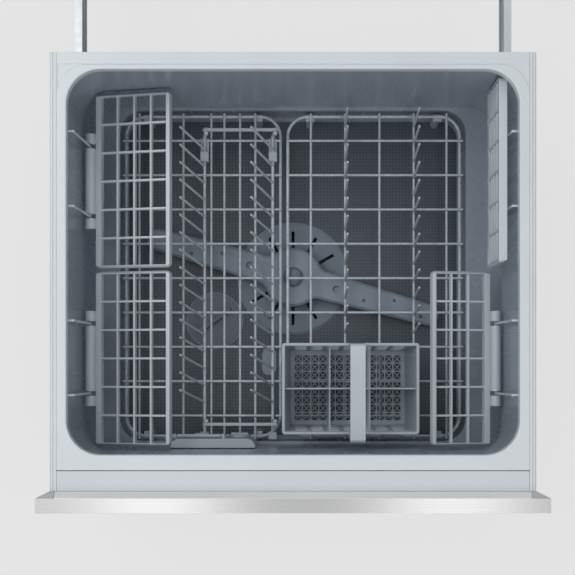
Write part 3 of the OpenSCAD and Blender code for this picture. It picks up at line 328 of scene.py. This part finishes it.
MATERIALS["brushed_stainless_panel"] = brushed_steel("brushed_stainless_panel", "#c0c0bf")
# The bevel's steel is rougher, and its colour is painted lighter than the panel's: painted light from above
# and behind.
MATERIALS["stainless_bevel_painted_lighter"] = brushed_steel("stainless_bevel_painted_lighter", "#dddddd", 0.4)
print("steel brushed along X")

# %% [markdown]
# ## Plated steel
# Rails, screws and brackets are zinc plated or galvanised. Zinc sets in flat crystals, a centimetre or so
# across, that differ a little in gloss. Voronoi cells have that look.

# %% Plated steel
SPANGLE_MM = 9.0


def plated(name, hex_colour, roughness=0.35):
    material, tree, shader = new_material(name, hex_colour, Metallic=1.0, Roughness=roughness)
    spangle = add(tree, "TexVoronoi", inputs={"Vector": object_place(tree), "Scale": 1000 / SPANGLE_MM})
    vary_roughness(tree, shader, spangle.outputs["Distance"], roughness - 0.08, roughness + 0.1)
    return material


MATERIALS["zinc_plated_rail"] = plated("zinc_plated_rail", "#b4b8bb")
MATERIALS["galvanised_bracket"] = plated("galvanised_bracket", "#a8abad", 0.45)
MATERIALS["heater_tube_steel"] = plated("heater_tube_steel", "#8b8f92", 0.3)
print(len(MATERIALS), "finishes in all")

# %% [markdown]
# ## Which finish goes where
# Each CAD solid keeps its shape and takes the finish of the real piece, by name. The wires of the racks and
# their hangers are the many that aren't listed.

# %% Give every solid its material
FINISH = {
    "tub_polypropylene": ["tub"],
    "rim_polypropylene": ["tub_rim", "rim_side_trims"],
    "apron_polypropylene": ["front_apron"],
    "brushed_stainless_panel": ["front_skin"],
    "end_cap_abs": ["panel_end_caps"],
    "dark_polypropylene": ["front_frame", "grip_recess", "drain_pump"],
    "galvanised_bracket": ["front_brackets"],
    "board_laminate": ["control_board"],
    "lens_polycarbonate": ["status_lenses"],
    "key_abs": ["power_key", "start_key", "wash_key", "lock_key"],
    "zinc_plated_rail": ["rail_screws", "tray_screws"],
    "base_polypropylene": ["base_tray"],
    "filter_polypropylene": ["sump_housing", "drain_filter", "spray_arm_cap"],
    "motor_enamel": ["wash_motor"],
    "impeller_acetal": ["wash_impeller"],
    "heater_tube_steel": ["heater_element"],
    "pierced_filter_plate": ["filter_plate"],
    "sump_cover_polypropylene": ["sump_cover"],
    "spray_arm_polypropylene": ["spray_arm"],
    "dispenser_polypropylene": ["dispenser_body", "dispenser_lid"],
    "rinse_cap_polypropylene": ["rinse_aid_cap"],
    "clip_nylon": ["rack_feet", "fold_clips", "fold_link_front", "fold_link_rear"],
    "basket_polypropylene": ["cutlery_basket"],
    "handle_polypropylene": ["basket_handle"],
}
FINISH_OF = {node: finish for finish, names in FINISH.items() for node in names}


def finish_of(name):
    if name.startswith("cup_rack"):
        return "cup_rack_polypropylene"
    return FINISH_OF.get(name, "zinc_plated_rail" if "rail_" in name else "nylon_wire")


for name, node in nodes.items():
    node.data.materials.clear()
    node.data.materials.append(MATERIALS[finish_of(name)])
print("finishes given to", len(nodes), "solids")

# %% [markdown]
# ## Making a piece
# A piece made here rides on a body, as the CAD solid that it belongs to does, and takes the finish that it is
# given. Its faces are shaded smooth, apart from real edges, and a Weighted Normal modifier keeps the flat
# faces flat up to their rounded edges.

# %% A helper that finishes a piece
BODY_OF = {name: body for body, names in frame["record"]["behaviour"]["bodies"].items() for name in names}
SHARP_SHADING = math.radians(38)


def make_piece(work, name, node, finish, stands_for=True):
    mesh = bpy.data.meshes.new(name)
    work.to_mesh(mesh)
    work.free()
    mesh.shade_smooth()
    mesh.set_sharp_from_angle(angle=SHARP_SHADING)
    piece = bpy.data.objects.new(name, mesh)
    bpy.context.scene.collection.objects.link(piece)
    mesh.materials.append(MATERIALS[finish])
    flat = piece.modifiers.new("flat_faces_stay_flat", "WEIGHTED_NORMAL")
    flat.keep_sharp = True
    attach(piece, BODY_OF[node])
    if stands_for:
        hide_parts(node)
    return piece


# %% [markdown]
# ## Rounded edges
# No moulding or pressing has a knife edge: a mould's edges are rounded by half a millimetre or more, and that
# thin band is what catches the light. The solids have sharp edges, so each visible moulding is copied, its
# loose triangles are merged back into whole faces, and the edges between them are bevelled. The copy then
# stands for the solid. Edges between the facets of a round are left alone, because they are not real edges.
# A lattice keeps its triangles, because its faces have openings in them that a merged face can't hold.

# %% A helper that rounds a solid's edges
REAL_EDGE = math.radians(35)
SAME_FACE = math.radians(0.5)
SAME_POINT = 1e-6            # metres


def sharp_edges(work):
    return [e for e in work.edges if e.is_manifold and e.calc_face_angle() > REAL_EDGE]


def round_off(work, edges, width_mm, segments):
    bmesh.ops.bevel(work, geom=edges, offset=width_mm / 1000, offset_type="OFFSET", segments=segments,
                    profile=0.5, affect="EDGES", clamp_overlap=False, material=-1)


def soften(node, width_mm, wide_test=None, wide_mm=0.0, whole_faces=True):
    work = bmesh.new()
    work.from_mesh(nodes[node].data)
    bmesh.ops.remove_doubles(work, verts=work.verts, dist=SAME_POINT)
    if whole_faces:
        bmesh.ops.dissolve_limit(work, angle_limit=SAME_FACE, verts=work.verts, edges=work.edges)
    if wide_test:
        round_off(work, [e for e in sharp_edges(work) if wide_test(e)], wide_mm, 5)
    round_off(work, sharp_edges(work), width_mm, 2)
    return make_piece(work, node + "_rounded", node, finish_of(node))


print("edges that turn more than", round(math.degrees(REAL_EDGE)), "degrees are rounded")

# %% [markdown]
# ## The rim of the opening
# The rim cover rolls over into the tub with a soft edge, much rounder than its outer ones. The edges around
# the opening are the top ones that lie inside the rim's sides, so a small test picks them by their place.

# %% Round the rim
RIM_SIDE = 0.0115            # from the cover's side to the opening, in metres
SLACK = 0.0005
OPEN_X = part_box("tub_rim")[1].x - RIM_SIDE + SLACK
OPEN_Y = 0.2256
AT_TOP = RIM_Z - 0.0003


def around_opening(edge):
    top = all(v.co.z > AT_TOP for v in edge.verts)
    return top and all(abs(v.co.x) < OPEN_X and abs(v.co.y) < OPEN_Y for v in edge.verts)


rim = soften("tub_rim", 0.5, around_opening, 2.0)
print(rim.name, len(rim.data.polygons), "faces")

# %% [markdown]
# ## All the other mouldings
# Pressed steel and small mouldings have tight edges, 0.4 mm. Racks and trims have 0.5 mm, and the parts that
# a hand or the water meets are rounder, 0.7 mm.

# %% Round the mouldings
LATTICES = ["cup_rack_rear_left", "cup_rack_front_left", "cup_rack_rear_right", "cup_rack_front_right",
            "cutlery_basket"]
WIDTHS = {
    0.4: ["front_skin", "front_brackets", "fold_clips", "rinse_aid_cap", "dispenser_lid", "sump_cover"],
    0.5: LATTICES + ["rim_side_trims", "fold_link_front", "fold_link_rear", "rack_feet"],
    0.7: ["basket_handle", "front_apron", "panel_end_caps", "spray_arm", "spray_arm_cap", "drain_filter",
          "grip_recess", "dispenser_body"],
}
for width, names in WIDTHS.items():
    for name in names:
        piece = soften(name, width, whole_faces=name not in LATTICES)
        print(name, "rounded by", width, "mm,", len(piece.data.polygons), "faces")

# %% [markdown]
# ## The bevel behind the panel's top
# The panel's top is folded back and down to a bevel. Its brushing is coarser than the face's, so it stays
# one even grey where the flat top shows bands of light. Its steel is also painted lighter than the panel's, a
# painted highlight for the light that it catches from above and behind. Its faces are found by the way they
# look: up and to the rear.

# %% Brush the bevel
LOOKS_AWAY = 0.3
skin = bpy.data.objects["front_skin_rounded"]
skin.data.materials.append(MATERIALS["stainless_bevel_painted_lighter"])
# Faces that look up and to the rear take the lighter steel, which is painted light on the bevel.
for face in skin.data.polygons:
    face.material_index = int(face.normal.y > LOOKS_AWAY and face.normal.z > LOOKS_AWAY)
print(sum(face.material_index for face in skin.data.polygons), "faces of the bevel")

# %% [markdown]
# ## The basket's floor
# Looked at closely, each square of the basket's floor is crossed by a thin X that keeps narrow things from
# slipping through. The braces are thin bars moulded in the floor's plane, one X in each of its squares. Each
# bar is a stretched cube of six faces, because there are two hundred of them.

# %% Braces in the basket's floor
BASKET_PITCH = 0.011         # metres
BASKET_CELLS = (13, 8)
BRACE = (0.0136, 0.0009, 0.0014)
BRACE_UP = 0.0012            # the bar's middle above the basket's lowest point
basket_low, basket_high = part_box("cutlery_basket")
basket_mid = (basket_low + basket_high) / 2
bar = Matrix.Diagonal((*BRACE, 1.0))
braces = bmesh.new()
for i in range(BASKET_CELLS[0]):
    for j in range(BASKET_CELLS[1]):
        x = basket_mid.x + (i - (BASKET_CELLS[0] - 1) / 2) * BASKET_PITCH
        y = basket_mid.y + (j - (BASKET_CELLS[1] - 1) / 2) * BASKET_PITCH
        place = Matrix.Translation((x, y, basket_low.z + BRACE_UP))
        for turn in (45, -45):
            turned = Matrix.Rotation(math.radians(turn), 4, "Z")
            bmesh.ops.create_cube(braces, size=1.0, matrix=place @ turned @ bar)
make_piece(braces, "basket_floor_braces", "cutlery_basket", "basket_polypropylene", stands_for=False)
print(BASKET_CELLS[0] * BASKET_CELLS[1], "crossed squares")

# %% [markdown]
# ## Floor
# A pale floor of plain paper. The camera sees it as an even pale grey, mixed from its own light and a little
# of the drawer's shadow. Its own light falls on nothing, so the drawer is lit by the lamps alone.

# %% Floor
FLOOR_HALF = 6.0             # metres
FLOOR_DOWN = 0.0005
FLOOR_GLOW = (0.8, 0.8, 0.8, 1.0)
GLOW_SHARE = 0.85
floor_mesh = bmesh.new()
bmesh.ops.create_grid(floor_mesh, x_segments=1, y_segments=1, size=FLOOR_HALF)
floor_data = bpy.data.meshes.new("floor")
floor_mesh.to_mesh(floor_data)
floor_mesh.free()
floor = bpy.data.objects.new("floor", floor_data)
floor.location.z = -FLOOR_DOWN
bpy.context.scene.collection.objects.link(floor)
print("floor", 2 * FLOOR_HALF, "m a side")

# %% [markdown]
# ## Floor paper
# Matt paper has no gloss to speak of. Light Path tells the material which rays come from the camera, and
# only those see the glow.

# %% Floor paper
floor_material, tree, shader = new_material("floor_paper", "#ececec", Roughness=0.8)
glow = add(tree, "Emission", inputs={"Color": FLOOR_GLOW, "Strength": 1.0})
ray = add(tree, "LightPath")
seen = add(tree, "Math", {"operation": "MULTIPLY"}, {0: ray.outputs["Is Camera Ray"], 1: GLOW_SHARE})
mixed = add(tree, "MixShader", inputs={0: seen.outputs["Value"], 1: shader.outputs["BSDF"],
                                       2: glow.outputs["Emission"]})
tree.links.new(mixed.outputs["Shader"], tree.nodes["Material Output"].inputs["Surface"])
floor.data.materials.append(floor_material)
print("floor papered")

# %% [markdown]
# ## Lamps
# Three soft lamps stand around the drawer, so that each wall of the tub gets some light from across it.
# Metal shows what stands around it: two long lamps over the front panel give the brushed steel its two
# bright bands. A lamp is a rectangle, turned to look at its aim, with its strength in watts.

# %% Lamps
LAMPS = {
    "overhead_left": ((-1.2, 0.5, 2.3), (0, 0, 0.3), (1.2, 1.2), 16),
    "overhead_front": ((0.1, -2.5, 1.8), (0, 0.1, 0.3), (1.6, 0.8), 18),
    "overhead_rear": ((0.4, 1.6, 2.3), (0, 0, 0.3), (1.6, 0.8), 7),
    "band_left": ((-0.39, -0.50, 2.6), (-0.39, -0.50, 0.3), (0.34, 1.5), 2.8),
    "band_right": ((0.45, -0.50, 2.6), (0.45, -0.50, 0.3), (0.36, 1.5), 2.8),
}
for name, (place, aim, size, watts) in LAMPS.items():
    lamp = bpy.data.lights.new(name, "AREA")
    lamp.shape, lamp.size, lamp.size_y, lamp.energy = "RECTANGLE", size[0], size[1], watts
    holder = bpy.data.objects.new(name, lamp)
    holder.location = place
    holder.rotation_euler = (Vector(aim) - Vector(place)).to_track_quat("-Z", "Y").to_euler()
    bpy.context.scene.collection.objects.link(holder)
print(len(LAMPS), "lamps")

# %% [markdown]
# ## World
# An even world light fills the shadows. It is stronger in reflections, where metal would otherwise show a
# dull room, and the camera sees it as a pale wall.

# %% World
ON_SURFACES, IN_REFLECTIONS, TO_CAMERA = 0.44, 0.74, 0.86
world = bpy.data.worlds.new("world")
bpy.context.scene.world = world
world.use_nodes = True
tree = world.node_tree
sky = tree.nodes["Background"]
sky.inputs["Color"].default_value = linear("#f2f4f5")
ray = add(tree, "LightPath")
shine = add(tree, "MapRange", inputs={"Value": ray.outputs["Is Glossy Ray"], "To Min": ON_SURFACES,
                                      "To Max": IN_REFLECTIONS})
level = add(tree, "MapRange", inputs={"Value": ray.outputs["Is Camera Ray"], "To Min": shine.outputs["Result"],
                                      "To Max": TO_CAMERA})
tree.links.new(level.outputs["Result"], sky.inputs["Strength"])
bpy.context.scene.view_settings.view_transform = "Standard"
print("lit")
